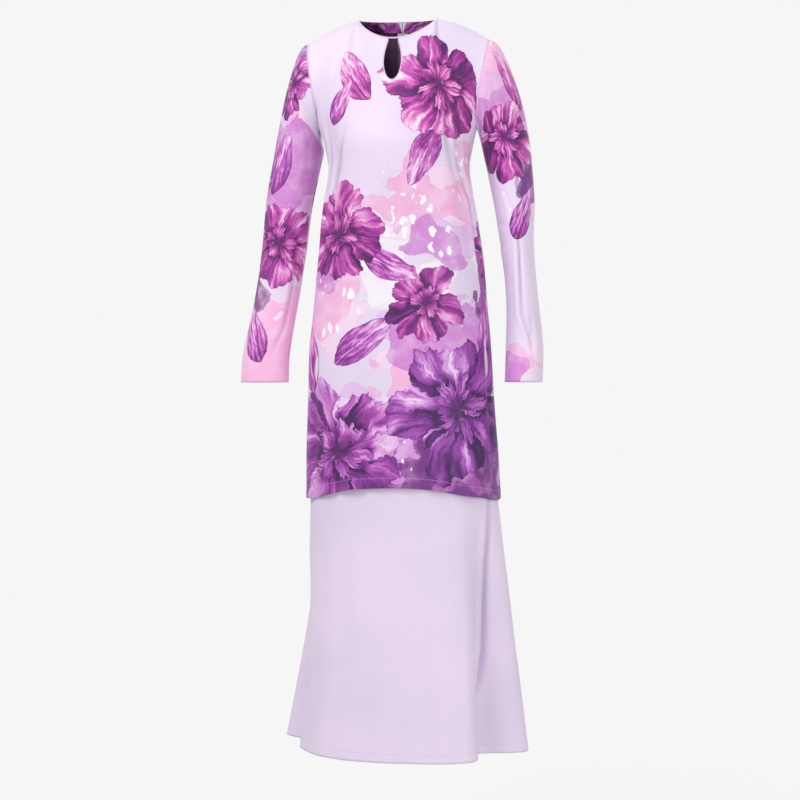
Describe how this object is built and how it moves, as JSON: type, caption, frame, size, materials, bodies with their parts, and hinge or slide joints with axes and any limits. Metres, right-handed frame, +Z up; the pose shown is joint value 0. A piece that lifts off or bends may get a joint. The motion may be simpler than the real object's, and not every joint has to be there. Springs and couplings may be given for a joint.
{
  "type": "baju kurung",
  "caption": "Long-sleeved floral tunic with a round keyhole neck over a plain flared long skirt, filled out with no wearer, with a back zip whose pull tab swings.",
  "frame": {"origin": "midway between the two shoulder high points of the neck, where a wearer carries it", "axes": "+Z up, -Y towards the front of the garment, +X towards the wearer's left"},
  "size_m": [0.5638, 0.3673, 1.3717],
  "materials": {
    "printed_crepe": "smooth polyester crepe with a watercolour floral print",
    "plain_crepe": "smooth plain lilac polyester crepe",
    "binding": "pale self-fabric strip",
    "zip_tape": "grey-white woven tape",
    "zip_metal": "satin plated zinc"
  },
  "bodies": {
    "garment": {"tunic_front": "printed_crepe", "tunic_back_left": "printed_crepe", "tunic_back_right": "printed_crepe", "sleeve_left": "printed_crepe", "sleeve_right": "printed_crepe", "back_facing_left": "printed_crepe", "back_facing_right": "printed_crepe", "neck_binding": "binding", "keyhole_binding": "binding", "zip_tape_left": "zip_tape", "zip_tape_right": "zip_tape", "skirt_front": "plain_crepe", "skirt_back": "plain_crepe", "skirt_waistband": "plain_crepe", "zip_slider": "zip_metal"},
    "pull_tab": {"zip_pull": "zip_metal"}
  },
  "joints": [
    {"name": "pull_swing", "type": "hinge", "parent": "garment", "child": "pull_tab", "pos_m": [-0.00009, 0.06295, -0.00748], "axis": [1, 0, 0], "range_deg": [0, 160]}
  ]
}
